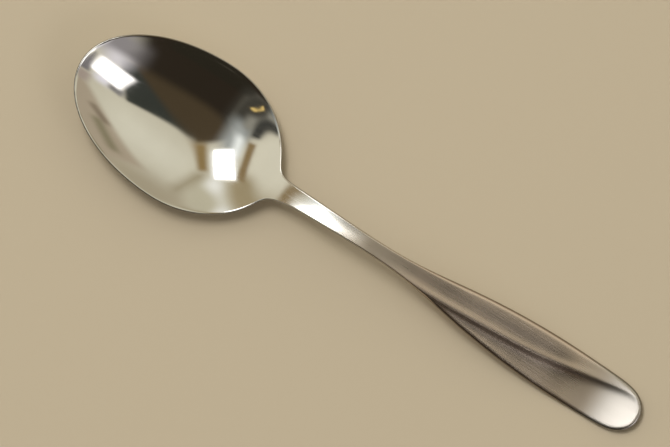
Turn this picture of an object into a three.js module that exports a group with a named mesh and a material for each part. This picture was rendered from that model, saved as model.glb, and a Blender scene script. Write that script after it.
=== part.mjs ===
// A tablespoon pressed from one blank of stainless steel. The blank is lofted along its length from
// four drawings: the outline seen from above, the line of the top face seen from the side, the hollow
// of the bowl, and the crease that sweeps across the handle. Millimetres, +X from the bowl's tip to
// the handle's end, +Z up; the spoon lies on Z = 0 as it would on a table.
import * as THREE from "three";

// Lengths along the spoon
const bowlFront = 38.4; // tip of the bowl to its widest place
const bowlBack = 28.6; // widest place to the heel, where the hollow runs out
const shoulderLength = 3; // heel to the plane where the neck starts
const neckLength = 45;
const handleLength = 82;
const flareLength = 20; // root of the handle to the middle of its flare
const widestLength = 50; // root of the handle to its widest place
const endLength = 13; // rounded end of the handle
const footLength = 18; // end of the handle back to the place where it touches the table

// Widths across the spoon
const bowlWidth = 46;
const neckRootWidth = 5.6;
const neckWidth = 4.9;
const handleRootWidth = 5.8;
const flareWidth = 11.3;
const handleWidth = 16.2;
const endWidth = 14.6; // where the sides of the handle would reach its end, were it not rounded
const shoulderFillet = 7.9; // reach of the inside curve between the bowl and the neck
const heelSway = 0.5; // the heel stands this far off the middle line, to -Y
const swayReach = 7; // length over which it comes back to that line, each way

// Thickness of the steel
const bowlThickness = 1.4;
const neckThickness = 3.4;
const handleThickness = 2.3;
const rimEdge = 0.5; // reach of the rounded edge of the bowl and the neck
const handleEdge = 1.15; // and of the handle

// Heights of the top face
const bowlDepth = 10;
const floorDrop = 0.39; // the lowest place of the bowl, below its floor at the widest place
const tipRise = 2; // the rim at the tip, above the rim at the widest place
const heelDrop = 0.1; // the heel, below that rim
const climbHeight = 15.3; // the neck, on its climb out of the heel
const climbLength = 10; // that place, behind the start of the neck
const archHeight = 17.5; // the neck, where it has arched over
const archLead = 13; // that place, ahead of the handle's root
const fallHeight = 13.9; // the handle, where its steady fall begins
const fallShare = 0.12; // that place, as a share of the handle's length
const landHeight = 5.6; // the handle, where its steady fall ends
const landShare = 0.55; // that place, as a share of the handle's length
const endLift = 1.5; // the tip of the handle, above the place where it touches
const footPress = 0.12; // depth of the flats where the bowl and the handle touch the table

// Bowl form
const bowlFullness = 2.4; // 2 is a plain parabola, more has steeper walls and a flatter floor
const eggBlend = 8; // length over which the long front of the bowl turns into its short back
const rimRoll = 0.25; // softness of the hollow's edge at the rim
const heelRoll = 5; // and at the heel, where it runs out into the neck

// Neck and handle form
const neckHollow = 0.2; // depth of the shallow trough along the top of the neck
const endBluntness = 3.4; // 2 is a plain elliptic end, more is blunter
const crownStart = 0.4; // share of the half width where the upper band starts to roll off to its edge
const crownRadius = 45; // of that roll
const ridgeHeight = 0.3; // rise of the upper band to the brink of the crease
const ridgeReach = 1.8; // width of that rise
const creaseWall = 0.8; // run of the step from the brink down into the lower panel
const creaseRoll = 0.4; // softness of its upper edge
const panelDepth = 0.55; // lower panel, below the plain sheet
const panelDish = 0.3; // rise of that panel from the crease to the edge

// Facets
const bowlRings = 38;
const neckRings = 20;
const handleRings = 38;
const halfColumns = 12;

// Stations along the spoon, from the tip of the bowl
const heel = bowlFront + bowlBack;
const neckStart = heel + shoulderLength;
const handleStart = neckStart + neckLength;
const overallLength = handleStart + handleLength;
const rimHeight = bowlDepth + floorDrop + bowlThickness - footPress;
const footHeight = handleThickness - footPress;

const between = (from, to, value) => THREE.MathUtils.smoothstep(value, from, to);

/** The value where it is above zero and zero where it is below, with a rounded corner of the given size. */
const rounded = (value, size) => (value + Math.hypot(value, size)) / 2;

/** A smooth curve through [station, value] points: the natural cubic spline. */
function smoothCurve(points) {
  const last = points.length - 1;
  const bend = new Array(last + 1).fill(0);
  const carry = new Array(last + 1).fill(0);
  for (let i = 1; i < last; i += 1) {
    const before = points[i][0] - points[i - 1][0];
    const after = points[i + 1][0] - points[i][0];
    const rise = (points[i][1] - points[i - 1][1]) / before;
    const nextRise = (points[i + 1][1] - points[i][1]) / after;
    const pivot = 2 * (before + after) - before * carry[i - 1];
    carry[i] = after / pivot;
    bend[i] = (6 * (nextRise - rise) - before * bend[i - 1]) / pivot;
  }
  for (let i = last - 1; i > 0; i -= 1) bend[i] -= carry[i] * bend[i + 1];
  return (station) => {
    let i = 0;
    while (i < last - 1 && station > points[i + 1][0]) i += 1;
    const span = points[i + 1][0] - points[i][0];
    const far = (station - points[i][0]) / span;
    const near = 1 - far;
    const curl = (near ** 3 - near) * bend[i] + (far ** 3 - far) * bend[i + 1];
    return near * points[i][1] + far * points[i + 1][1] + (curl * span ** 2) / 6;
  };
}

// Outline seen from above

const stem = smoothCurve([
  [heel, neckRootWidth / 2],
  [neckStart + neckLength / 2, neckWidth / 2],
  [handleStart, handleRootWidth / 2],
  [handleStart + flareLength, flareWidth / 2],
  [handleStart + widestLength, handleWidth / 2],
  [overallLength, endWidth / 2],
]);

/** Distance from the widest place, as a share of the bowl's length there: -1 at the tip, 1 at the heel. */
function bowlShare(station) {
  const past = station - bowlFront;
  const turn = (1 + Math.tanh(past / eggBlend)) / 2;
  return past / THREE.MathUtils.lerp(bowlFront, bowlBack, turn);
}

/** Half the spoon's width at a station, squared: an egg, a stem, the fillet between them and a round end. */
function halfWidthSquared(station) {
  const onStem = between(bowlFront, heel, station);
  const egg = (bowlWidth / 2) ** 2 * (1 - bowlShare(station) ** 2);
  const joined = rounded(egg, shoulderFillet ** 2 * onStem) + (onStem ? onStem * stem(station) : 0) ** 2;
  const intoEnd = Math.max(0, 1 - (overallLength - station) / endLength);
  return joined * (1 - intoEnd ** endBluntness);
}

/** How far the middle of the spoon is drawn aside at a station: the lower fillet is the fuller one. */
const sway = (station) => -heelSway * Math.exp(-(((station - heel) / swayReach) ** 2));

/** Distance in from the outline, for a point at a station and an offset from the middle line. */
function inFromEdge(station, offset) {
  const step = 0.01;
  const change = (halfWidthSquared(station + step) - halfWidthSquared(station - step)) / (2 * step);
  return (halfWidthSquared(station) - offset ** 2) / Math.max(Math.hypot(change, 2 * offset), step);
}

// Faces of the pressed sheet

const spine = smoothCurve([
  [0, rimHeight + tipRise],
  [bowlFront, rimHeight],
  [heel, rimHeight - heelDrop],
  [neckStart + climbLength, climbHeight],
  [handleStart - archLead, archHeight],
  [handleStart + fallShare * handleLength, fallHeight],
  [handleStart + landShare * handleLength, landHeight],
  [overallLength - footLength, footHeight],
  [overallLength, footHeight + endLift],
]);

/** Thickness of the steel: thin in the bowl, thickest in the neck. */
function thickness(station) {
  const neckMiddle = neckStart + neckLength / 2;
  const intoNeck = between(bowlFront, neckMiddle, station);
  const intoHandle = between(neckMiddle, handleStart + flareLength, station);
  const stock = THREE.MathUtils.lerp(bowlThickness, neckThickness, intoNeck);
  return THREE.MathUtils.lerp(stock, handleThickness, intoHandle);
}

/** Height of the sheet's top face with the bowl pressed in. */
function sheet(station, offset) {
  const radius = Math.hypot(bowlShare(station), (2 * offset) / bowlWidth);
  const roll = THREE.MathUtils.lerp(rimRoll, heelRoll, between(bowlFront, heel, station));
  return spine(station) - rounded(bowlDepth * (1 - radius ** bowlFullness), roll);
}

/** How much longer a plumb line through the sheet is than the sheet is thick, where it stands on a slope. */
function slant(station, offset) {
  const step = 0.05;
  const along = (sheet(station + step, offset) - sheet(station - step, offset)) / (2 * step);
  const across = (sheet(station, offset + step) - sheet(station, offset - step)) / (2 * step);
  return Math.hypot(1, along, across);
}

// The crease: its share of the handle's half width, by its share of the handle's length. It leaves
// the -Y edge at the root and crosses to the +Y side near the end.
const creasePath = smoothCurve([
  [0.04, -1],
  [0.24, -0.46],
  [0.6, 0.03],
  [0.85, 0.55],
  [1, 0.88],
]);

const handleShare = (station) => (station - handleStart) / handleLength;

/**
 * Height of the top over the plain sheet, at a station and an offset: a shallow trough along the neck, then a
 * band that rises to the brink of the crease, a short wall, and a dished panel below it. They start softly at
 * the root and run out flat.
 */
function relief(station, offset) {
  const share = handleShare(station);
  const half = Math.sqrt(Math.max(halfWidthSquared(station), 0.01));
  const past = creasePath(share) * half - offset;
  const root = between(-0.2, 0.12, share);
  const flat = 1 - between(0.78, 1.06, share);
  const rollOff = Math.max(offset - crownStart * half, 0) ** 2 / (2 * crownRadius);
  const crown = rollOff * between(neckStart, handleStart, station);
  const onClimb = between(heel, neckStart + climbLength, station);
  const onNeck = onClimb * (1 - between(neckStart + neckLength / 2, handleStart - archLead, station));
  const trough = neckHollow * (1 - (offset / half) ** 2) * onNeck;
  const brink = Math.exp(-((past / ridgeReach) ** 2)) * THREE.MathUtils.lerp(1, 0.6, share);
  const band = ridgeHeight * root * flat * brink - crown - trough;
  const panelWidth = Math.max((creasePath(share) + 1) * half, 1);
  const panel = panelDish * (Math.max(past, 0) / panelWidth) ** 2 - panelDepth * flat;
  const wall = 1 - Math.exp(-rounded(past, creaseRoll) / creaseWall);
  return THREE.MathUtils.lerp(band, panel, wall * root);
}

/** The two faces at a station and an offset, drawn together round the edge. */
function faces(station, offset) {
  const pressed = sheet(station, offset);
  const top = pressed + relief(station, offset);
  const under = Math.max(pressed - thickness(station) * slant(station, offset), 0);
  const onHandle = between(handleStart, handleStart + flareLength, station);
  const reach = THREE.MathUtils.lerp(rimEdge, handleEdge, onHandle);
  const into = THREE.MathUtils.clamp(inFromEdge(station, offset) / reach, 0, 1);
  const half = ((top - under) / 2) * Math.sqrt(into * (2 - into));
  return { top: (top + under) / 2 + half, under: (top + under) / 2 - half };
}

// Loft

/** Offsets of the columns at a station, close together at the edges and, on the handle, along the crease. */
function columns(station) {
  const half = Math.sqrt(halfWidthSquared(station));
  const onHandle = between(handleStart - flareLength / 2, handleStart + flareLength / 2, station);
  const split = onHandle * THREE.MathUtils.clamp(creasePath(handleShare(station)), -0.5, 0.5);
  const offsets = [];
  for (let column = 0; column <= halfColumns; column += 1) {
    const turn = (Math.PI * column) / halfColumns;
    const share = THREE.MathUtils.lerp(1 - Math.cos(turn / 2), (1 - Math.cos(turn)) / 2, onHandle);
    offsets[column] = half * (share * (1 + split) - 1);
    offsets[2 * halfColumns - column] = half * (1 - share * (1 - split));
  }
  return offsets;
}

/** Closed cross-section at a station: over the top from -Y to +Y, then back underneath. */
function section(station) {
  const x = station - overallLength / 2;
  const aside = sway(station);
  const offsets = columns(station);
  const over = offsets.map((y) => new THREE.Vector3(x, y + aside, faces(station, y).top));
  const back = offsets.slice(1, -1).map((y) => new THREE.Vector3(x, y + aside, faces(station, y).under));
  return over.concat(back.reverse());
}

/** One closed body through the sections at the given stations. The spoon's own two tips close to a point. */
function loft(stations) {
  const points = [];
  const triangles = [];
  const rings = stations.map((station) => {
    const first = points.length;
    if (station > 0 && station < overallLength) points.push(...section(station));
    else points.push(new THREE.Vector3(station - overallLength / 2, 0, faces(station, 0).top));
    const count = points.length - first;
    return (index) => first + (index % count);
  });
  const around = 4 * halfColumns;
  for (let ring = 1; ring < rings.length; ring += 1) {
    const near = rings[ring - 1];
    const far = rings[ring];
    for (let index = 0; index < around; index += 1) {
      if (far(1) !== far(0)) triangles.push(near(index), far(index), far(index + 1));
      if (near(1) !== near(0)) triangles.push(near(index), far(index + 1), near(index + 1));
    }
  }
  for (const ring of [rings[0], rings.at(-1)]) {
    if (ring(1) === ring(0)) continue;
    const cap = [];
    for (let column = 0; column < 2 * halfColumns; column += 1) {
      const under = around - column;
      if (under > column + 2) cap.push(ring(column), ring(column + 1), ring(under - 1));
      if (column > 0) cap.push(ring(column), ring(under - 1), ring(under));
    }
    triangles.push(...(ring === rings[0] ? cap : cap.reverse()));
  }
  const geometry = new THREE.BufferGeometry().setFromPoints(points);
  geometry.setIndex(triangles);
  geometry.computeVertexNormals();
  return geometry;
}

/** Stations from one end of a piece to the other; the spacing maps 0..1 to 0..1. */
function spread(from, to, rings, spacing) {
  return Array.from({ length: rings + 1 }, (_, i) => from + (to - from) * spacing(i / rings));
}

const closeAtBothEnds = (share) => (1 - Math.cos(Math.PI * share)) / 2;
const closeAtFarEnd = (share) => Math.sin((Math.PI / 2) * share);
const even = (share) => share;

function piece(name, stations, color, roughness) {
  const steel = new THREE.MeshStandardMaterial({ color, roughness, metalness: 1 });
  const mesh = new THREE.Mesh(loft(stations), steel);
  mesh.name = name;
  return mesh;
}

const spoon = new THREE.Group();
spoon.name = "tablespoon";
spoon.add(
  piece("bowl", spread(0, neckStart, bowlRings, closeAtBothEnds), 0xd9d4c8, 0.08),
  piece("neck", spread(neckStart, handleStart, neckRings, even), 0xd0cbc0, 0.22),
  piece("handle", spread(handleStart, overallLength, handleRings, closeAtFarEnd), 0xc6c0b4, 0.34),
);

export default spoon;
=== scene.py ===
# %% [markdown]
# # A tablespoon, from the blank to the polish
#
# A table spoon is one piece of stainless steel. A flat blank is rolled thin where the
# bowl will be, cut to outline, pressed between two dies and polished. This lesson goes
# the same way in Blender: a flat grid is the blank, it is spread to the outline, pressed
# to its heights, given a back and a rim, and then finished. Everything is in metres, in
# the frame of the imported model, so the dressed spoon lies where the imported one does.

import math

import bmesh
import bpy
from mathutils import Matrix, Vector


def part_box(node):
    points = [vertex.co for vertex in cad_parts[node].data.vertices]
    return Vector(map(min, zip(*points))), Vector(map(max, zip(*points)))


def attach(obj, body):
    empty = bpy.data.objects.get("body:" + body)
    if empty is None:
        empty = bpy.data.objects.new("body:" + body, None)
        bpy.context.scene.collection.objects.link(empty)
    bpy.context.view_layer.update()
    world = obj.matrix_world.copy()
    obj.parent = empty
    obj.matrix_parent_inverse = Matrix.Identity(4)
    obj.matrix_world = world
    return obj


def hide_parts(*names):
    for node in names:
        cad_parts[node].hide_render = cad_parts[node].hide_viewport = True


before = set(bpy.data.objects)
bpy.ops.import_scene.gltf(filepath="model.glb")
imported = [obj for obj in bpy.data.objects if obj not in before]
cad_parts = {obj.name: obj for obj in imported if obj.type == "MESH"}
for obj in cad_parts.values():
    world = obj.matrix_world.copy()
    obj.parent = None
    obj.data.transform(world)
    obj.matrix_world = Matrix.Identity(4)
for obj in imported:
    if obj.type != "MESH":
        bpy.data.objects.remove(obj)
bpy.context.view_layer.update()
MM = 0.001

# %% [markdown]
# ## Stations
#
# A maker measures a spoon from the tip of its bowl. A place along the spoon is called a
# station here, and a place across it an offset. Typed numbers could drift away from the
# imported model, so the stations where one piece ends and the next begins are read from it.
# The others are measured from the tip or from one of those.

# %% Stations along the spoon, from the tip of the bowl
TIP_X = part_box("bowl")[0].x
NECK_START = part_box("neck")[0].x - TIP_X
HANDLE_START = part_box("handle")[0].x - TIP_X
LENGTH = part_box("handle")[1].x - TIP_X
HANDLE_LENGTH = LENGTH - HANDLE_START
NECK_MIDDLE = (NECK_START + HANDLE_START) / 2
BOWL_FRONT = 38.4 * MM  # from the tip to the widest place of the bowl
BOWL_BACK = 28.6 * MM  # from there to the heel
HEEL = BOWL_FRONT + BOWL_BACK
CLIMB = NECK_START + 10 * MM  # on the way up the neck
ARCH = HANDLE_START - 13 * MM  # near the top of the arch
FLARE = HANDLE_START + 20 * MM  # where the handle opens out
WIDEST = HANDLE_START + 50 * MM
END_LENGTH = 13 * MM  # the rounded end of the handle
print("neck from", round(NECK_START / MM, 1), "handle from", round(HANDLE_START / MM, 1), "mm")

# %% [markdown]
# ## Four small tools
#
# Pressed steel has no sharp corner anywhere, so the drawing is done with soft building
# blocks: an S-shaped step between two stations, a corner that is rounded off, a mix of
# two values, and a curve that runs smoothly through a few points, as a thin batten does
# when it is bent round pins. Curve objects could hold such lines too, but a function
# gives the value at any station, and that is what the grid asks for later.


# %% Soft step, soft corner, mix and smooth curve
def step(start, stop, place):
    """Zero before start, one after stop, and an S-shaped rise between."""
    share = min(max((place - start) / (stop - start), 0.0), 1.0)
    return share * share * (3 - 2 * share)


def rounded(value, size):
    """The value where it is above zero, zero where it is below, with a rounded corner."""
    return (value + math.hypot(value, size)) / 2


def mix(first, second, share):
    """The value that lies this share of the way from first to second."""
    return first + (second - first) * share


def smooth_curve(*points):
    """The natural cubic spline through (place, value) points."""
    # the bend at each point comes from one sweep forwards and one back
    last = len(points) - 1
    bend = [0.0] * (last + 1)
    carry = [0.0] * (last + 1)
    for i in range(1, last):
        before = points[i][0] - points[i - 1][0]
        after = points[i + 1][0] - points[i][0]
        rise = (points[i][1] - points[i - 1][1]) / before
        next_rise = (points[i + 1][1] - points[i][1]) / after
        pivot = 2 * (before + after) - before * carry[i - 1]
        carry[i] = after / pivot
        bend[i] = (6 * (next_rise - rise) - before * bend[i - 1]) / pivot
    for i in range(last - 1, 0, -1):
        bend[i] -= carry[i] * bend[i + 1]

    def value_at(place):
        i = 0
        while i < last - 1 and place > points[i + 1][0]:
            i += 1
        span = points[i + 1][0] - points[i][0]
        far = (place - points[i][0]) / span
        near = 1 - far
        curl = (near**3 - near) * bend[i] + (far**3 - far) * bend[i + 1]
        return near * points[i][1] + far * points[i + 1][1] + curl * span**2 / 6

    return value_at


print("halfway up a soft step:", step(0, 1, 0.5))

# %% [markdown]
# ## The outline
#
# From above, the bowl is an egg: a long half ellipse in front of its widest place and a
# short one behind. A slim stem leaves it through a rounded shoulder, swells into the
# handle and ends in a blunt curve. At the heel the middle is drawn a little aside, so the
# fillet on that side is the fuller one. A traced curve could show this line, but could
# not tell the width at a station. Working with the half width squared keeps the tip and
# the end simple, because there the square falls to zero in a straight line.

# %% The egg of the bowl and the line of the stem
BOWL_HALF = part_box("bowl")[1].y
HANDLE_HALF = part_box("handle")[1].y
EGG_BLEND = 8 * MM  # how gently the long half gives way to the short one

stem_half = smooth_curve(
    (HEEL, 2.8 * MM),
    (NECK_MIDDLE, 2.45 * MM),
    (HANDLE_START, 2.9 * MM),
    (FLARE, 5.65 * MM),
    (WIDEST, HANDLE_HALF),
    (LENGTH, 7.3 * MM),
)


def bowl_share(station):
    """Distance from the widest place: -1 at the tip, 1 at the heel."""
    past = station - BOWL_FRONT
    turn = (1 + math.tanh(past / EGG_BLEND)) / 2
    return past / mix(BOWL_FRONT, BOWL_BACK, turn)


print("bowl", round(2 * BOWL_HALF / MM, 1), "handle", round(2 * HANDLE_HALF / MM, 1), "mm wide")

# %% Half width of the blank
SHOULDER_FILLET = 7.9 * MM
END_BLUNTNESS = 3.4  # with 2 the end would be half an ellipse
HEEL_SWAY = 0.5 * MM
SWAY_REACH = 7 * MM


def half_squared(station):
    """Square of the half width: the egg rounded off into the stem, and the blunt end."""
    on_stem = step(BOWL_FRONT, HEEL, station)
    egg = BOWL_HALF**2 * (1 - bowl_share(station) ** 2)
    stem = on_stem * stem_half(station)
    into_end = max(0.0, 1 - (LENGTH - station) / END_LENGTH)
    blank = rounded(egg, SHOULDER_FILLET**2 * on_stem) + stem**2
    return blank * (1 - into_end**END_BLUNTNESS)


def half_width(station):
    """Half width of the blank, from its middle to either edge."""
    return math.sqrt(max(half_squared(station), 0.0))


def sway(station):
    """How far the middle of the spoon is drawn aside round the heel."""
    return -HEEL_SWAY * math.exp(-(((station - HEEL) / SWAY_REACH) ** 2))


neck_widths = [2 * half_width(mix(NECK_START, HANDLE_START, i / 40)) for i in range(41)]
print("narrowest, mm:", round(min(neck_widths) / MM, 2))

# %% [markdown]
# ## The pressing
#
# Seen from the side, the rim of the bowl is almost level, the neck climbs out of the heel,
# and the handle arches over and comes down to touch the table near its end. The bowl is a
# hollow pressed below that line. A plain parabola would be too pointed underneath, so the
# power is a little over two: a flatter floor and steeper walls. Towards the heel the wall
# rolls over gently into the neck.

# %% Side line and thickness
BOWL_DEPTH = 10 * MM
BOWL_STEEL = 1.4 * MM
NECK_STEEL = 3.4 * MM
HANDLE_STEEL = 2.3 * MM
FOOT_PRESS = 0.12 * MM  # how far the back would sink into the table, had it no flats
REST_LIFT = 0.39 * MM  # makes up for the dip of the side line over the bowl
RIM_HEIGHT = BOWL_DEPTH + BOWL_STEEL - FOOT_PRESS + REST_LIFT
FOOT_HEIGHT = HANDLE_STEEL - FOOT_PRESS

side_line = smooth_curve(
    (0, RIM_HEIGHT + 2 * MM),
    (BOWL_FRONT, RIM_HEIGHT),
    (HEEL, RIM_HEIGHT - 0.1 * MM),
    (CLIMB, 15.3 * MM),
    (ARCH, 17.5 * MM),
    (HANDLE_START + 0.12 * HANDLE_LENGTH, 13.9 * MM),
    (HANDLE_START + 0.55 * HANDLE_LENGTH, 5.6 * MM),
    (LENGTH - 18 * MM, FOOT_HEIGHT),
    (LENGTH, FOOT_HEIGHT + 1.5 * MM),
)


def steel(station):
    """Thickness of the steel: thin in the bowl, thickest in the neck."""
    stock = mix(BOWL_STEEL, NECK_STEEL, step(BOWL_FRONT, NECK_MIDDLE, station))
    return mix(stock, HANDLE_STEEL, step(NECK_MIDDLE, FLARE, station))


neck_heights = [side_line(mix(NECK_START, HANDLE_START, i / 40)) for i in range(41)]
print("top of the arch, mm:", round(max(neck_heights) / MM, 2))

# %% The hollow of the bowl
BOWL_FULLNESS = 2.4
RIM_ROLL = 0.25 * MM
HEEL_ROLL = 5 * MM
SLOPE_REACH = 0.05 * MM


def pressed(station, offset):
    """Height of the top face with the bowl pressed in."""
    radius = math.hypot(bowl_share(station), offset / BOWL_HALF)
    roll = mix(RIM_ROLL, HEEL_ROLL, step(BOWL_FRONT, HEEL, station))
    return side_line(station) - rounded(BOWL_DEPTH * (1 - radius**BOWL_FULLNESS), roll)


def slant(station, offset):
    """How much longer a plumb line through the sheet is than the sheet is thick."""
    along = pressed(station + SLOPE_REACH, offset) - pressed(station - SLOPE_REACH, offset)
    across = pressed(station, offset + SLOPE_REACH) - pressed(station, offset - SLOPE_REACH)
    return math.hypot(1, along / (2 * SLOPE_REACH), across / (2 * SLOPE_REACH))


print("floor of the bowl over the table, mm:", round(pressed(BOWL_FRONT, 0) / MM, 2))

# %% [markdown]
# ## The crease
#
# The one ornament is a crease that leaves one edge at the root of the handle and sweeps
# across to the other side near the end. On one side of it a band rises to a low brink
# along the crease and bends down towards its outer edge. On the other a short steep wall
# drops to a panel that is dished up again to its edge. Brink and drop run out towards the
# end of the handle. The neck has a shallow trough along its top. A knife cut in the mesh
# would leave hard corners, so all of this is a height added to the pressed sheet. Drawn
# as shares of the handle's length and half width, the sweep keeps its look on any handle.

# %% Where the crease and the trough run
# along the handle from 0 to 1, and across it from edge to edge, from -1 to 1
crease_share = smooth_curve((0.04, -1), (0.24, -0.46), (0.6, 0.03), (0.85, 0.55), (1, 0.88))


def handle_share(station):
    """Distance along the handle: 0 at its root, 1 at its end."""
    return (station - HANDLE_START) / HANDLE_LENGTH


def on_neck(station):
    """One on the climb of the neck, zero at the heel and at the top of the arch."""
    return step(HEEL, CLIMB, station) * (1 - step(NECK_MIDDLE, ARCH, station))


print("crease at the widest place, as a share:", round(crease_share(handle_share(WIDEST)), 2))

# %% Relief of the top face
CROWN_RADIUS = 45 * MM
CROWN_START = 0.4  # share of the half width
NECK_HOLLOW = 0.2 * MM
RIDGE_HEIGHT = 0.3 * MM
RIDGE_REACH = 1.8 * MM
RIDGE_LEFT = 0.6  # share that the ridge sinks to along the handle, before it fades
PANEL_DEPTH = 0.55 * MM
PANEL_DISH = 0.3 * MM
CREASE_WALL = 0.8 * MM
CREASE_ROLL = 0.4 * MM
CREASE_GROWS = (-0.2, 0.12)  # as shares of the handle's length
CREASE_FADES = (0.78, 1.06)
LEAST_HALF = 0.1 * MM
LEAST_PANEL = 1 * MM


def relief(station, offset):
    """Height of the top face over the plain pressed sheet."""
    share = handle_share(station)
    half = max(half_width(station), LEAST_HALF)
    past = crease_share(share) * half - offset
    root = step(*CREASE_GROWS, share)
    remains = 1 - step(*CREASE_FADES, share)
    crown = max(offset - CROWN_START * half, 0.0) ** 2 / (2 * CROWN_RADIUS)
    crown *= step(NECK_START, HANDLE_START, station)
    trough = NECK_HOLLOW * (1 - (offset / half) ** 2) * on_neck(station)
    ridge = RIDGE_HEIGHT * root * remains * mix(1, RIDGE_LEFT, share)
    band = ridge * math.exp(-((past / RIDGE_REACH) ** 2)) - crown - trough
    panel_width = max((crease_share(share) + 1) * half, LEAST_PANEL)
    panel = PANEL_DISH * (max(past, 0.0) / panel_width) ** 2 - PANEL_DEPTH * remains
    wall = 1 - math.exp(-rounded(past, CREASE_ROLL) / CREASE_WALL)
    return mix(band, panel, wall * root)


print("crease falls, mm:", round((relief(WIDEST, 4 * MM) - relief(WIDEST, -2 * MM)) / MM, 2))

# %% [markdown]
# ## The edge
#
# A cut edge is sharp, so it is ground round: closely on the rim of the bowl, and more
# generously on the handle, where the hand holds it. A Bevel modifier starts from a hard
# edge, and this sheet has none yet. Instead the top and the back are drawn together near
# the outline, each in a quarter of an ellipse.

# %% Rounding of the edge
RIM_EDGE = 0.5 * MM
HANDLE_EDGE = 1.15 * MM
FOOT_ROLL = 0.03 * MM  # softens the flats where the back meets the table
PROBE = 0.01 * MM
LEAST_SLOPE = 1e-5


def half_change(station):
    """How fast the squared half width changes along the spoon."""
    return (half_squared(station + PROBE) - half_squared(station - PROBE)) / (2 * PROBE)


def in_from_edge(station, offset):
    """Distance in from the outline, for points that lie near it."""
    slope = math.hypot(half_change(station), 2 * offset)
    return (half_squared(station) - offset**2) / max(slope, LEAST_SLOPE)


def edge_reach(station):
    """How far in from the outline the rounding begins."""
    return mix(RIM_EDGE, HANDLE_EDGE, step(HANDLE_START, FLARE, station))


def faces_at(station, offset):
    """Heights of the top and the back, and how clear of the rounding they are, from 0 to 1."""
    sheet = pressed(station, offset)
    top = sheet + relief(station, offset)
    back = rounded(sheet - steel(station) * slant(station, offset), FOOT_ROLL)
    clear = min(max(in_from_edge(station, offset) / edge_reach(station), 0.0), 1.0)
    middle = (top + back) / 2
    half = (top - back) / 2 * math.sqrt(clear * (2 - clear))
    return middle + half, middle - half, clear


top, back, _ = faces_at(BOWL_FRONT, 0)
print("bowl steel, mm:", round((top - back) / MM, 2), "over the table:", round(back / MM, 2))

# %% [markdown]
# ## The blank as a grid
#
# A mirror shows every uneven face, so the mesh has to flow with the form. A polar mesh
# would put a star in the middle of the bowl, and straight cross-sections would crowd
# together at the tip. Instead one plain grid is laid over the whole spoon: its first and
# last rows are bent round the tip and the end, its outer columns follow the edge closely
# enough to round it, and on most of the handle one column runs along the crease.

# %% Rows and columns of the grid
EDGE_STEPS = (0.02, 0.08, 0.2, 0.4, 0.7, 1.1)  # shares of the reach of the edge
INNER_STEPS = 27
BOWL_ROWS, NECK_ROWS, HANDLE_ROWS = 88, 40, 84
TIP_CORNER = 5.5 * MM  # where the corners of the grid lie on the outline
END_CORNER = LENGTH - 2 * MM
WIDEST_EDGE = 0.4  # most of the half width that the edge columns may take
CREASE_BLEND = 10 * MM
CREASE_LIMITS = (-0.6, 0.7)
CREASE_CROWDING = 1.6  # with 1 the columns would not draw together at the crease


def even(start, stop, count):
    """Even steps from start, up to the one before stop."""
    return [mix(start, stop, i / count) for i in range(count)]


tip_rows = [TIP_CORNER + share * RIM_EDGE for share in EDGE_STEPS]
end_rows = [END_CORNER - share * HANDLE_EDGE for share in reversed(EDGE_STEPS)]
rows = tip_rows[:-1] + even(tip_rows[-1], NECK_START, BOWL_ROWS)
rows += even(NECK_START, HANDLE_START, NECK_ROWS)
rows += even(HANDLE_START, end_rows[0], HANDLE_ROWS) + end_rows


def columns(station):
    """Offsets of the columns from the -Y edge to the +Y edge."""
    half = half_width(station)
    stretch = math.hypot(1, half_change(station) / (2 * half))
    reach = min(edge_reach(station) * stretch, WIDEST_EDGE * half)
    insets = [share * reach for share in EDGE_STEPS]
    on_handle = step(HANDLE_START - CREASE_BLEND, HANDLE_START + CREASE_BLEND, station)
    low, high = CREASE_LIMITS
    split = half * on_handle * min(max(crease_share(handle_share(station)), low), high)
    lower, upper = [inset - half for inset in insets], [half - inset for inset in insets]
    for i in range(1, INNER_STEPS + 1):
        left = 1 - i / INNER_STEPS
        share = mix(1 - left, 1 - left**CREASE_CROWDING, on_handle)
        lower.append(mix(insets[-1] - half, split, share))
        upper.append(mix(half - insets[-1], split, share))
    return lower + upper[-2::-1]


column_count = len(columns(BOWL_FRONT))
print("grid:", len(rows), "rows of", column_count)

# %% [markdown]
# ## Laying and pressing the grid
#
# The grid operator makes a flat square of even faces. Every vertex knows its row and its
# column from where it lies in that square, and moves to its place on the spoon, at the
# height of the top face. Two values ride along on each vertex: how near the edge it is,
# which the finish reads later, and the height of the back under it.

# %% Lay the grid over the outline
BEND_START = LENGTH - 1.6 * END_LENGTH  # from here the rows begin to bend round the end
HALVINGS = 40


def station_at(half, low, high):
    """Station between low and high where the blank has this half width."""
    widens = half_width(high) > half_width(low)
    for _ in range(HALVINGS):
        middle = (low + high) / 2
        if (half_width(middle) < half) == widens:
            low = middle
        else:
            high = middle
    return low


def bend_rows(row, offset):
    """Station of a grid point: near the tip and the end the rows bend with the outline."""
    share = abs(offset) / half_width(row)
    bent = row
    if row < BOWL_FRONT:
        ease = (1 - (row - TIP_CORNER) / (BOWL_FRONT - TIP_CORNER)) ** 2
        bent += ease * (station_at(share * half_width(TIP_CORNER), 0.0, TIP_CORNER) - TIP_CORNER)
    if row > BEND_START:
        ease = ((row - BEND_START) / (END_CORNER - BEND_START)) ** 2
        bent += ease * (station_at(share * half_width(END_CORNER), END_CORNER, LENGTH) - END_CORNER)
    return bent


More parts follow.
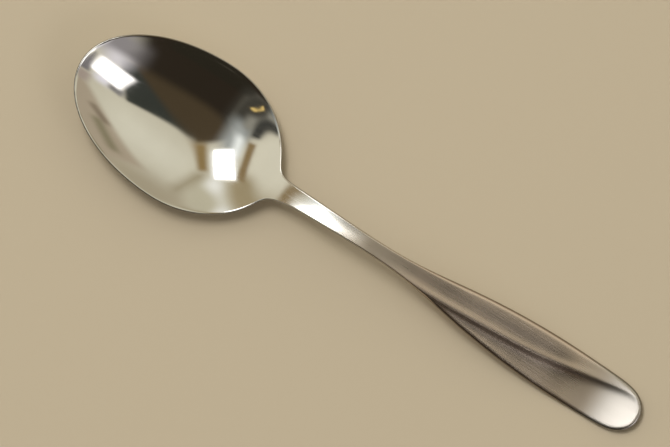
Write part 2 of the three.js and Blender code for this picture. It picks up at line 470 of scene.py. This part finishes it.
spoon = bmesh.new()
bmesh.ops.create_grid(spoon, x_segments=len(rows) - 1, y_segments=column_count - 1, size=1)
edge_layer = spoon.verts.layers.float.new("edge")
back_layer = spoon.verts.layers.float.new("back_height")
offsets = [columns(row) for row in rows]
for vert in spoon.verts:
    row = round((vert.co.x + 1) / 2 * (len(rows) - 1))
    offset = offsets[row][round((vert.co.y + 1) / 2 * (column_count - 1))]
    station = bend_rows(rows[row], offset)
    top, back, clear = faces_at(station, offset)
    vert.co = (TIP_X + station, offset + sway(station), top)
    vert[edge_layer] = 1 - clear
    vert[back_layer] = back
print("pressed sheet:", len(spoon.faces), "faces")

# %% [markdown]
# ## Back and rim
#
# A Solidify modifier would give every part the same thickness and a square rim. Here the
# back height was worked out with the top, so the sheet is duplicated, the copy dropped to
# the back heights and turned over, and the two open edges bridged. Both sheets have
# already curled towards each other at the edge, so the bridge closes a round rim.

# %% Duplicate, drop and bridge
sheet_parts = spoon.verts[:] + spoon.edges[:] + spoon.faces[:]
copied = bmesh.ops.duplicate(spoon, geom=sheet_parts)["geom"]
for part in copied:
    if isinstance(part, bmesh.types.BMVert):
        part.co.z = part[back_layer]
back_faces = [part for part in copied if isinstance(part, bmesh.types.BMFace)]
bmesh.ops.reverse_faces(spoon, faces=back_faces)
open_edges = [edge for edge in spoon.edges if edge.is_boundary]
bmesh.ops.bridge_loops(spoon, edges=open_edges)
bmesh.ops.recalc_face_normals(spoon, faces=spoon.faces)
spoon.normal_update()
print("open edges left:", sum(edge.is_boundary for edge in spoon.edges))
print("volume, mm3:", round(spoon.calc_volume() / MM**3))

# %% [markdown]
# ## Three pieces with one shine
#
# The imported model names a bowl, a neck and a handle, which have their own finishes. Grid
# rows already lie on both cross-sections, so the spoon is parted there without a cut. A
# reflection would break at the seam if each piece smoothed its own edge, so every vertex
# first stores the normal it has on the whole spoon, and the pieces wear those normals. A
# UV map that follows the length tells the finish which way the strokes run.

# %% Part the spoon
normal_layer = spoon.verts.layers.float_vector.new("whole_normal")
for vert in spoon.verts:
    vert[normal_layer] = vert.normal


def part_out(name, node):
    """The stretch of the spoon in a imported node's length, closed at the cross-sections."""
    start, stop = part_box(node)[0].x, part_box(node)[1].x
    piece = spoon.copy()
    outside = [face for face in piece.faces if not start < face.calc_center_median().x < stop]
    bmesh.ops.delete(piece, geom=outside, context="FACES")
    open_edges = [edge for edge in piece.edges if edge.is_boundary]
    caps = bmesh.ops.holes_fill(piece, edges=open_edges, sides=0)["faces"]
    bmesh.ops.recalc_face_normals(piece, faces=caps)
    own = piece.verts.layers.float_vector["whole_normal"]
    piece.normal_update()
    # only a cap has more than four corners, and it is flat
    normals = [
        tuple(face.normal if len(face.verts) > 4 else loop.vert[own])
        for face in piece.faces
        for loop in face.loops
    ]
    # of the values that rode along, the finish needs only the edge
    piece.verts.layers.float_vector.remove(own)
    piece.verts.layers.float.remove(piece.verts.layers.float["back_height"])
    brush = piece.loops.layers.uv.new("brush")
    for face in piece.faces:
        face.smooth = True
        for loop in face.loops:
            loop[brush].uv = loop.vert.co.yx
    mesh = bpy.data.meshes.new(name)
    piece.to_mesh(mesh)
    piece.free()
    mesh.normals_split_custom_set(normals)
    made = bpy.data.objects.new(name, mesh)
    bpy.context.scene.collection.objects.link(made)
    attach(made, "root")
    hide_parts(node)
    print(name, len(mesh.polygons), "faces,", len(caps), "caps")
    return made


bowl = part_out("polished_bowl", "bowl")
neck = part_out("blended_neck", "neck")
handle = part_out("satin_handle", "handle")
spoon.free()

# %% [markdown]
# ## Strokes and haze
#
# What tells a mirror bowl from a satin handle is only how fine the last abrasive was: a
# mop leaves faint hairlines and haze, a belt leaves long scratches. Each scratch could be
# modelled, but there are thousands, finer than a hair. They are noise stretched along the
# spoon instead. One node group makes the strokes and the cloudy marks of handling, and
# each finish uses it with its own values.


# %% A node group for strokes and haze
def add_node(tree, kind, inputs=None, **settings):
    """A node with its settings, and its inputs linked to sockets or set to values."""
    node = tree.nodes.new(kind)
    for name, value in settings.items():
        setattr(node, name, value)
    for name, value in (inputs or {}).items():
        if isinstance(value, bpy.types.NodeSocket):
            tree.links.new(value, node.inputs[name])
        else:
            node.inputs[name].default_value = value
    return node


def add_sockets(group, in_out, **kinds):
    """Named inputs or outputs of a node group, each of its kind."""
    for name, kind in kinds.items():
        group.interface.new_socket(
            name.replace("_", " "), in_out=in_out, socket_type="NodeSocket" + kind
        )


def make_strokes():
    """A node group with the strokes along the spoon and the haze of handling."""
    group = bpy.data.node_groups.new("steel_strokes", "ShaderNodeTree")
    add_sockets(group, "INPUT", Position="Vector", Stroke_Scale="Vector", Haze_Scale="Float")
    add_sockets(group, "OUTPUT", Strokes="Float", Haze="Float")
    given = group.nodes.new("NodeGroupInput").outputs
    place = given["Position"]
    stretched = add_node(
        group, "ShaderNodeVectorMath", {0: place, 1: given["Stroke Scale"]}, operation="MULTIPLY"
    ).outputs[0]
    grain = {"Scale": 1.0, "Detail": 4.0, "Roughness": 0.65}
    strokes = add_node(group, "ShaderNodeTexNoise", {"Vector": stretched, **grain})
    clouds = {"Scale": given["Haze Scale"], "Detail": 3.0}
    haze = add_node(group, "ShaderNodeTexNoise", {"Vector": place, **clouds})
    marks = {"Strokes": strokes.outputs["Fac"], "Haze": haze.outputs["Fac"]}
    add_node(group, "NodeGroupOutput", marks)
    return group


steel_strokes = make_strokes()
print("group sockets:", [item.name for item in steel_strokes.interface.items_tree])

# %% [markdown]
# ## One steel from tip to end
#
# The mop polishes the bowl and fades out on the neck, where the belt takes over. A finish
# that changed at the cross-sections would show them as lines. So all three materials
# share one colour ramp along the whole spoon: its colour is the tint of the steel, and
# its alpha is the roughness there. On the neck and handle the tint is warmed, a painted
# reflection of warm brown surroundings, and at the end of the handle it is darker, as
# painted shade that dims the highlight there.

# %% Tint and roughness along the spoon
# the warmer tints on the neck and handle are a painted reflection of warm brown surroundings, and
# the darker last tint is painted shade that dims the highlight at the end
BRIGHT = (0.71, 0.69, 0.635)
PALE = (0.66, 0.60, 0.52)
WARM_REFLECTION = (0.61, 0.50, 0.405)
END_SHADE = (0.50, 0.465, 0.42)
STEEL_ALONG = (
    (0, BRIGHT, 0.07),
    (50 * MM, BRIGHT, 0.07),
    (NECK_START, BRIGHT, 0.13),
    (NECK_START + 15 * MM, BRIGHT, 0.2),
    (NECK_START + 30 * MM, PALE, 0.3),
    (HANDLE_START + 5 * MM, WARM_REFLECTION, 0.29),
    (FLARE, WARM_REFLECTION, 0.24),
    (LENGTH - 25 * MM, WARM_REFLECTION, 0.24),
    (LENGTH - 12 * MM, END_SHADE, 0.34),
)


def remap(tree, value, source, target):
    """A value carried over from one range to another."""
    ends = {"From Min": source[0], "From Max": source[1], "To Min": target[0], "To Max": target[1]}
    return add_node(tree, "ShaderNodeMapRange", {"Value": value, **ends}).outputs["Result"]


def steel_along(tree, place):
    """Tint and roughness of the steel at a place on the spoon; the tint carries painted reflection
    and shade.
    """
    along = add_node(tree, "ShaderNodeSeparateXYZ", {"Vector": place}).outputs["X"]
    share = remap(tree, along, (TIP_X, TIP_X + LENGTH), (0.0, 1.0))
    ramp = add_node(tree, "ShaderNodeValToRGB", {"Fac": share})
    stops = ramp.color_ramp.elements
    while len(stops) < len(STEEL_ALONG):
        stops.new(1.0)
    for stop, (station, tint, roughness) in zip(stops, STEEL_ALONG):
        stop.position = station / LENGTH
        stop.color = (*tint, roughness)
    return ramp.outputs["Color"], ramp.outputs["Alpha"]


print("stops, mm:", [round(station / MM) for station, _, _ in STEEL_ALONG])

# %% [markdown]
# ## The finishes
#
# Each finish lays its marks over that steel. Clouds of handling shift the tint and the
# roughness a little, strokes vary the roughness and are a fraction of a micrometre deep,
# and the edge, which is rubbed but never mopped, keeps a roughness of its own. The edge
# is also painted darker, as shade: the dark line that a rounded rim shows where it
# mirrors the shadowed floor. A brushed face also smears its highlights across the
# strokes, which the shader's anisotropy does when it is told their direction.

# %% Dress the three pieces
HAZE_SCALE = 45.0
NOISE_RANGE = (0.3, 0.7)  # most of what a noise gives lies between these
HAZE_ON_TINT = (0.95, 1.04)
HAZE_ON_ROUGHNESS = (0.9, 1.15)
EDGE_SHADE_BAND = (0.3, 0.8)  # from where the painted edge shade begins to where it is full
STROKE_DEPTH = 0.0002 * MM


def times(tree, first, second):
    """The product of two numbers."""
    return add_node(tree, "ShaderNodeMath", {0: first, 1: second}, operation="MULTIPLY").outputs[0]


def shaded(tree, colour, factor):
    """A colour or a direction, scaled as a whole."""
    values = {0: colour, "Scale": factor}
    return add_node(tree, "ShaderNodeVectorMath", values, operation="SCALE").outputs[0]


def make_finish(name, stroke_scale, scatter, edge_roughness, painted_edge_shade, grain):
    """A steel with its strokes, clouds, rougher rubbed edge and painted edge shade."""
    material = bpy.data.materials.new(name)
    material.use_nodes = True
    tree = material.node_tree
    place = add_node(tree, "ShaderNodeTexCoord").outputs["Object"]
    scales = {"Stroke Scale": stroke_scale, "Haze Scale": HAZE_SCALE}
    marks = add_node(
        tree, "ShaderNodeGroup", {"Position": place, **scales}, node_tree=steel_strokes
    ).outputs
    edge = add_node(tree, "ShaderNodeAttribute", attribute_name="edge").outputs["Fac"]
    tint, roughness = steel_along(tree, place)
    tint = shaded(tree, tint, remap(tree, marks["Haze"], NOISE_RANGE, HAZE_ON_TINT))
    # painted shade: the tint darkens towards the outline of the piece
    tint = shaded(tree, tint, remap(tree, edge, EDGE_SHADE_BAND, (1.0, painted_edge_shade)))
    stroke = remap(tree, marks["Strokes"], NOISE_RANGE, (1 - scatter, 1 + scatter))
    smear = remap(tree, marks["Haze"], NOISE_RANGE, HAZE_ON_ROUGHNESS)
    roughness = times(tree, times(tree, roughness, stroke), smear)
    # the mixing node's sockets for plain numbers: 0 is the factor, 2 and 3 the two values
    rubbed = add_node(tree, "ShaderNodeMix", {0: edge, 2: roughness, 3: edge_roughness})
    scratches = {"Height": marks["Strokes"], "Distance": STROKE_DEPTH, "Strength": 1.0}
    bump = add_node(tree, "ShaderNodeBump", scratches)
    across = add_node(tree, "ShaderNodeTangent", direction_type="UV_MAP", uv_map="brush")
    shader = tree.nodes["Principled BSDF"].inputs
    tree.links.new(tint, shader["Base Color"])
    tree.links.new(rubbed.outputs[0], shader["Roughness"])
    tree.links.new(bump.outputs["Normal"], shader["Normal"])
    tree.links.new(across.outputs["Tangent"], shader["Tangent"])
    shader["Metallic"].default_value = 1.0
    shader["Anisotropic"].default_value = grain
    return material


mirror_steel = make_finish(
    "mirror_steel", (90, 2500, 90), scatter=0.3, edge_roughness=0.08, painted_edge_shade=0.25, grain=0.0
)
bowl.data.materials.append(mirror_steel)
drawn_steel = make_finish(
    "drawn_steel", (60, 2600, 60), scatter=0.2, edge_roughness=0.14, painted_edge_shade=0.35, grain=0.3
)
neck.data.materials.append(drawn_steel)
brushed_steel = make_finish(
    "brushed_steel", (40, 2800, 40), scatter=0.12, edge_roughness=0.2, painted_edge_shade=0.45, grain=0.3
)
handle.data.materials.append(brushed_steel)
print("finishes:", [piece.data.materials[0].name for piece in (bowl, neck, handle)])

# %% [markdown]
# ## Floor
#
# The spoon lies on a plain pale floor. A small plane would show its border in a low view,
# so this one is far wider than any view. It is matt and of one colour, so all that is
# seen on it is the shadow.

# %% A plain floor
FLOOR_HALF = 9.0
FLOOR_COLOUR = (0.445, 0.375, 0.268, 1)
flat = bmesh.new()
bmesh.ops.create_grid(flat, x_segments=1, y_segments=1, size=FLOOR_HALF)
floor = bpy.data.objects.new("floor", bpy.data.meshes.new("floor"))
flat.to_mesh(floor.data)
flat.free()
bpy.context.scene.collection.objects.link(floor)
matt = bpy.data.materials.new("floor")
matt.use_nodes = True
matt.node_tree.nodes["Principled BSDF"].inputs["Base Color"].default_value = FLOOR_COLOUR
matt.node_tree.nodes["Principled BSDF"].inputs["Roughness"].default_value = 1.0
floor.data.materials.append(matt)
print("floor:", 2 * FLOOR_HALF, "m wide")

# %% [markdown]
# ## A room for the mirror
#
# Polished metal has hardly any colour of its own and shows what stands around it: pale
# walls, two windows and a dark side. Cards and lamps could be stood round the spoon, but
# they would get in the way of other views. So the room is painted on the world, in soft
# patches over a pale wall. One node group paints one patch, a turned rectangle with soft
# edges, over what is behind it.


# %% A node group for a soft patch
def make_patch():
    """A node group that paints a soft-edged, turned rectangle over what is behind it."""
    group = bpy.data.node_groups.new("soft_patch", "ShaderNodeTree")
    add_sockets(group, "INPUT", Behind="Color", Lean="Vector", Middle="Vector", Half_Size="Vector")
    add_sockets(group, "INPUT", Turn="Float", Softness="Float", Colour="Color")
    add_sockets(group, "OUTPUT", Colour="Color")
    given = group.nodes.new("NodeGroupInput").outputs

    def vector_math(operation, *values):
        inputs = dict(enumerate(values))
        return add_node(group, "ShaderNodeVectorMath", inputs, operation=operation).outputs[0]

    moved = vector_math("SUBTRACT", given["Lean"], given["Middle"])
    turned = add_node(
        group, "ShaderNodeVectorRotate", {"Vector": moved, "Angle": given["Turn"]},
        rotation_type="Z_AXIS", invert=True,
    ).outputs[0]
    inside = vector_math("SUBTRACT", given["Half Size"], vector_math("ABSOLUTE", turned))
    sides = add_node(group, "ShaderNodeSeparateXYZ", {"Vector": inside}).outputs
    fade = {"From Min": times(group, given["Softness"], -1.0), "From Max": given["Softness"]}
    masks = [
        add_node(
            group, "ShaderNodeMapRange", {"Value": sides[axis], **fade},
            interpolation_type="SMOOTHSTEP",
        ).outputs["Result"]
        for axis in "XY"
    ]
    # the mixing node's sockets for colours: 6 and 7 are the two colours, 2 is the result
    layers = {"Factor": times(group, *masks), 6: given["Behind"], 7: given["Colour"]}
    paint = add_node(group, "ShaderNodeMix", layers, data_type="RGBA")
    add_node(group, "NodeGroupOutput", {"Colour": paint.outputs[2]})
    return group


soft_patch = make_patch()
print("patch sockets:", [item.name for item in soft_patch.interface.items_tree])

# %% [markdown]
# ## Painting the room
#
# A patch needs a place on a dome, and longitude and latitude would pinch it overhead, just
# where a spoon on a table looks. So a place is given by its lean: how many degrees it lies
# from straight up, towards +X and towards +Y. Later patches cover earlier ones. The walls
# stay below white, and only the windows and their glow are brighter, so a colour comes
# out about as it is written.

# %% Turn directions into leans
room = bpy.data.worlds.new("room")
room.use_nodes = True
bpy.context.scene.world = room
sky = room.node_tree
direction = add_node(sky, "ShaderNodeTexCoord").outputs["Generated"]
parts = add_node(sky, "ShaderNodeSeparateXYZ", {"Vector": direction}).outputs
level = add_node(sky, "ShaderNodeCombineXYZ", {"X": parts["X"], "Y": parts["Y"]}).outputs[0]
heading = add_node(sky, "ShaderNodeVectorMath", {0: level}, operation="NORMALIZE").outputs[0]
from_up = add_node(sky, "ShaderNodeMath", {0: parts["Z"]}, operation="ARCCOSINE").outputs[0]
lean = shaded(sky, heading, times(sky, from_up, math.degrees(1)))
print("nodes that give the lean:", len(sky.nodes) - 2)

# %% Paint the patches
WALL = (0.76, 0.72, 0.59, 1)
ROOM_STRENGTH = 0.96
PATCHES = (
    # name, middle and half size in degrees of lean, turn and softness in degrees, colour
    ("far_wall", (20, 88), (75, 16), 0, 14, (0.52, 0.46, 0.34)),
    ("lit_wall", (19, 38), (20, 18), 0, 16, (0.87, 0.84, 0.71)),
    ("heel_wall", (-58, -12), (16, 26), 0, 12, (0.90, 0.86, 0.72)),
    ("door", (-26, 58), (14, 24), 10, 8, (0.66, 0.62, 0.48)),
    ("window_fade", (-30, 40), (8, 9), 0, 8, (1.10, 1.10, 1.06)),
    ("door_edge", (-9.5, 54), (3, 22), -15, 9, (0.40, 0.34, 0.22)),
    ("warm_corner", (-54, 27), (13, 17), 18, 9, (0.46, 0.38, 0.235)),
    ("brown_corner", (53.2, 56.2), (37, 20), -49, 3.5, (0.53, 0.45, 0.345)),
    ("brown_streak", (41, 46.5), (8, 2.4), -41, 2.5, (0.31, 0.25, 0.185)),
    ("olive_streak", (33.5, 63), (13, 2.8), -53, 3, (0.31, 0.275, 0.18)),
    ("wedge", (27.6, -11.9), (14, 21.6), 20, 2, (0.05, 0.055, 0.048)),
    ("brown_side", (13.6, -28.2), (32, 18.6), -48, 3, (0.085, 0.062, 0.036)),
    ("dark_side", (15, -58), (30, 28), -4, 8, (0.034, 0.026, 0.018)),
    ("rim_shade", (6, -78), (24, 8), 0, 3, (0.03, 0.026, 0.018)),
    ("back_side", (-22, -54), (14, 32), -6, 8, (0.07, 0.066, 0.055)),
    ("grey_side", (52, -42), (12, 16), 0, 9, (0.36, 0.34, 0.36)),
    ("tip_glow", (49, -24), (6.5, 9), 0, 7, (0.95, 0.92, 1.0)),
    ("cool_veil", (-21, -20), (10, 20), -8, 9, (0.47, 0.50, 0.50)),
    ("veil_top", (-27.5, -44), (5, 8.5), 0, 5, (0.34, 0.33, 0.29)),
    ("window_veil", (-28, -12), (5, 13), 11, 6, (1.2, 1.26, 1.28)),
    ("dark_corner", (-37, -48), (5, 17), 8, 3, (0.06, 0.06, 0.055)),
    ("gold_streak", (-22.5, -59.5), (2.4, 1.2), -20, 1, (1.15, 0.83, 0.3)),
    ("window_halo", (-26.5, 13), (16.5, 13), -56, 4, (1.3, 1.32, 1.34)),
    ("amber_band", (-4.6, 18.2), (4.4, 15.6), 33, 3.4, (0.34, 0.235, 0.10)),
    ("amber_post", (-44.8, -3.5), (4.2, 22), 12, 2.5, (0.31, 0.215, 0.10)),
    ("sill_glow", (49.5, 8), (5, 5), 0, 4.5, (1.05, 1.03, 1.16)),
    ("tip_sill", (40.2, 9), (4.6, 4.2), -5, 2.2, (0.30, 0.29, 0.29)),
    ("brown_rim", (60, 17), (4.5, 6), 0, 3, (0.50, 0.42, 0.37)),
    ("tip_window", (47.3, -5.4), (10.7, 10.6), -11, 2.4, (2.6, 2.56, 2.63)),
    ("tip_frame", (63.1, -4), (4.6, 14), 3, 1.6, (0.25, 0.235, 0.25)),
    ("heel_window", (-26.5, 13), (16.7, 10.6), -56, 1.2, (4.4, 4.4, 4.4)),
)
painted = WALL
for name, middle, half_size, turn, softness, colour in PATCHES:
    values = {
        "Behind": painted,
        "Lean": lean,
        "Middle": (*middle, 0),
        "Half Size": (*half_size, 0),
        "Turn": math.radians(turn),
        "Softness": softness,
        "Colour": (*colour, 1),
    }
    patch = add_node(sky, "ShaderNodeGroup", values, node_tree=soft_patch, name=name)
    painted = patch.outputs["Colour"]
sky.links.new(painted, sky.nodes["Background"].inputs["Color"])
sky.nodes["Background"].inputs["Strength"].default_value = ROOM_STRENGTH
print("patches in the room:", len(PATCHES))

# %% [markdown]
# ## A lamp for the shadow
#
# Light from all round the room leaves almost no shadow, and the spoon would seem to
# float. A sun lamp would draw it too hard. One area lamp on the side of the larger window
# throws a soft one. The steel already mirrors the painted window, so the lamp is hidden
# from glossy rays and shows in no reflection.

# %% Key light
KEY_LEAN = Vector((-18, 8, 0))
KEY_SIZE = (0.42, 0.30)
KEY_SPIN = math.radians(56)
KEY_DISTANCE = 1.6
KEY_BRIGHTNESS = 28.0  # as the spoon sees it, on the scale of the painted room
tilt = math.radians(KEY_LEAN.length)
key = bpy.data.lights.new("key_light", "AREA")
key.shape = "RECTANGLE"
key.size, key.size_y = KEY_SIZE
key.energy = KEY_BRIGHTNESS * math.pi * KEY_SIZE[0] * KEY_SIZE[1]
lamp = bpy.data.objects.new("key_light", key)
upright = Vector((0, 0, math.cos(tilt)))
lamp.location = KEY_DISTANCE * (KEY_LEAN.normalized() * math.sin(tilt) + upright)
facing = lamp.location.to_track_quat("Z", "Y").to_matrix()
lamp.rotation_euler = (facing @ Matrix.Rotation(KEY_SPIN, 3, "Z")).to_euler()
lamp.visible_glossy = False
bpy.context.scene.collection.objects.link(lamp)
print("lamp at, m:", [round(side, 2) for side in lamp.location])

# %% [markdown]
# ## Camera
#
# The spoon is seen from almost straight above and lies across the picture. A camera close
# by would show the raised handle larger than the bowl. So it stands far off with a long
# lens, chosen so that a known width at the spoon fills the frame. The Standard view shows
# colours as they were written.

# %% Camera almost straight above
FRAME_WIDTH = 198.9 * MM
CAMERA_DISTANCE = 2.5
SENSOR_WIDTH = 36  # in millimetres, as Blender gives lenses
FOCUS = Vector((-9.1 * MM, 0.1 * MM, 8 * MM))
TILT = Matrix.Rotation(math.radians(2), 3, "X")
TURN = Matrix.Rotation(math.radians(32.8), 3, "Z")
lens = bpy.data.cameras.new("camera")
lens.sensor_width = SENSOR_WIDTH
lens.lens = SENSOR_WIDTH * CAMERA_DISTANCE / FRAME_WIDTH
camera = bpy.data.objects.new("camera", lens)
aim = TILT @ TURN
camera.location = FOCUS + aim @ Vector((0, 0, CAMERA_DISTANCE))
camera.rotation_euler = aim.to_euler()
bpy.context.scene.collection.objects.link(camera)
bpy.context.scene.camera = camera
bpy.context.scene.view_settings.view_transform = "Standard"
print("lens, mm:", round(lens.lens, 1))
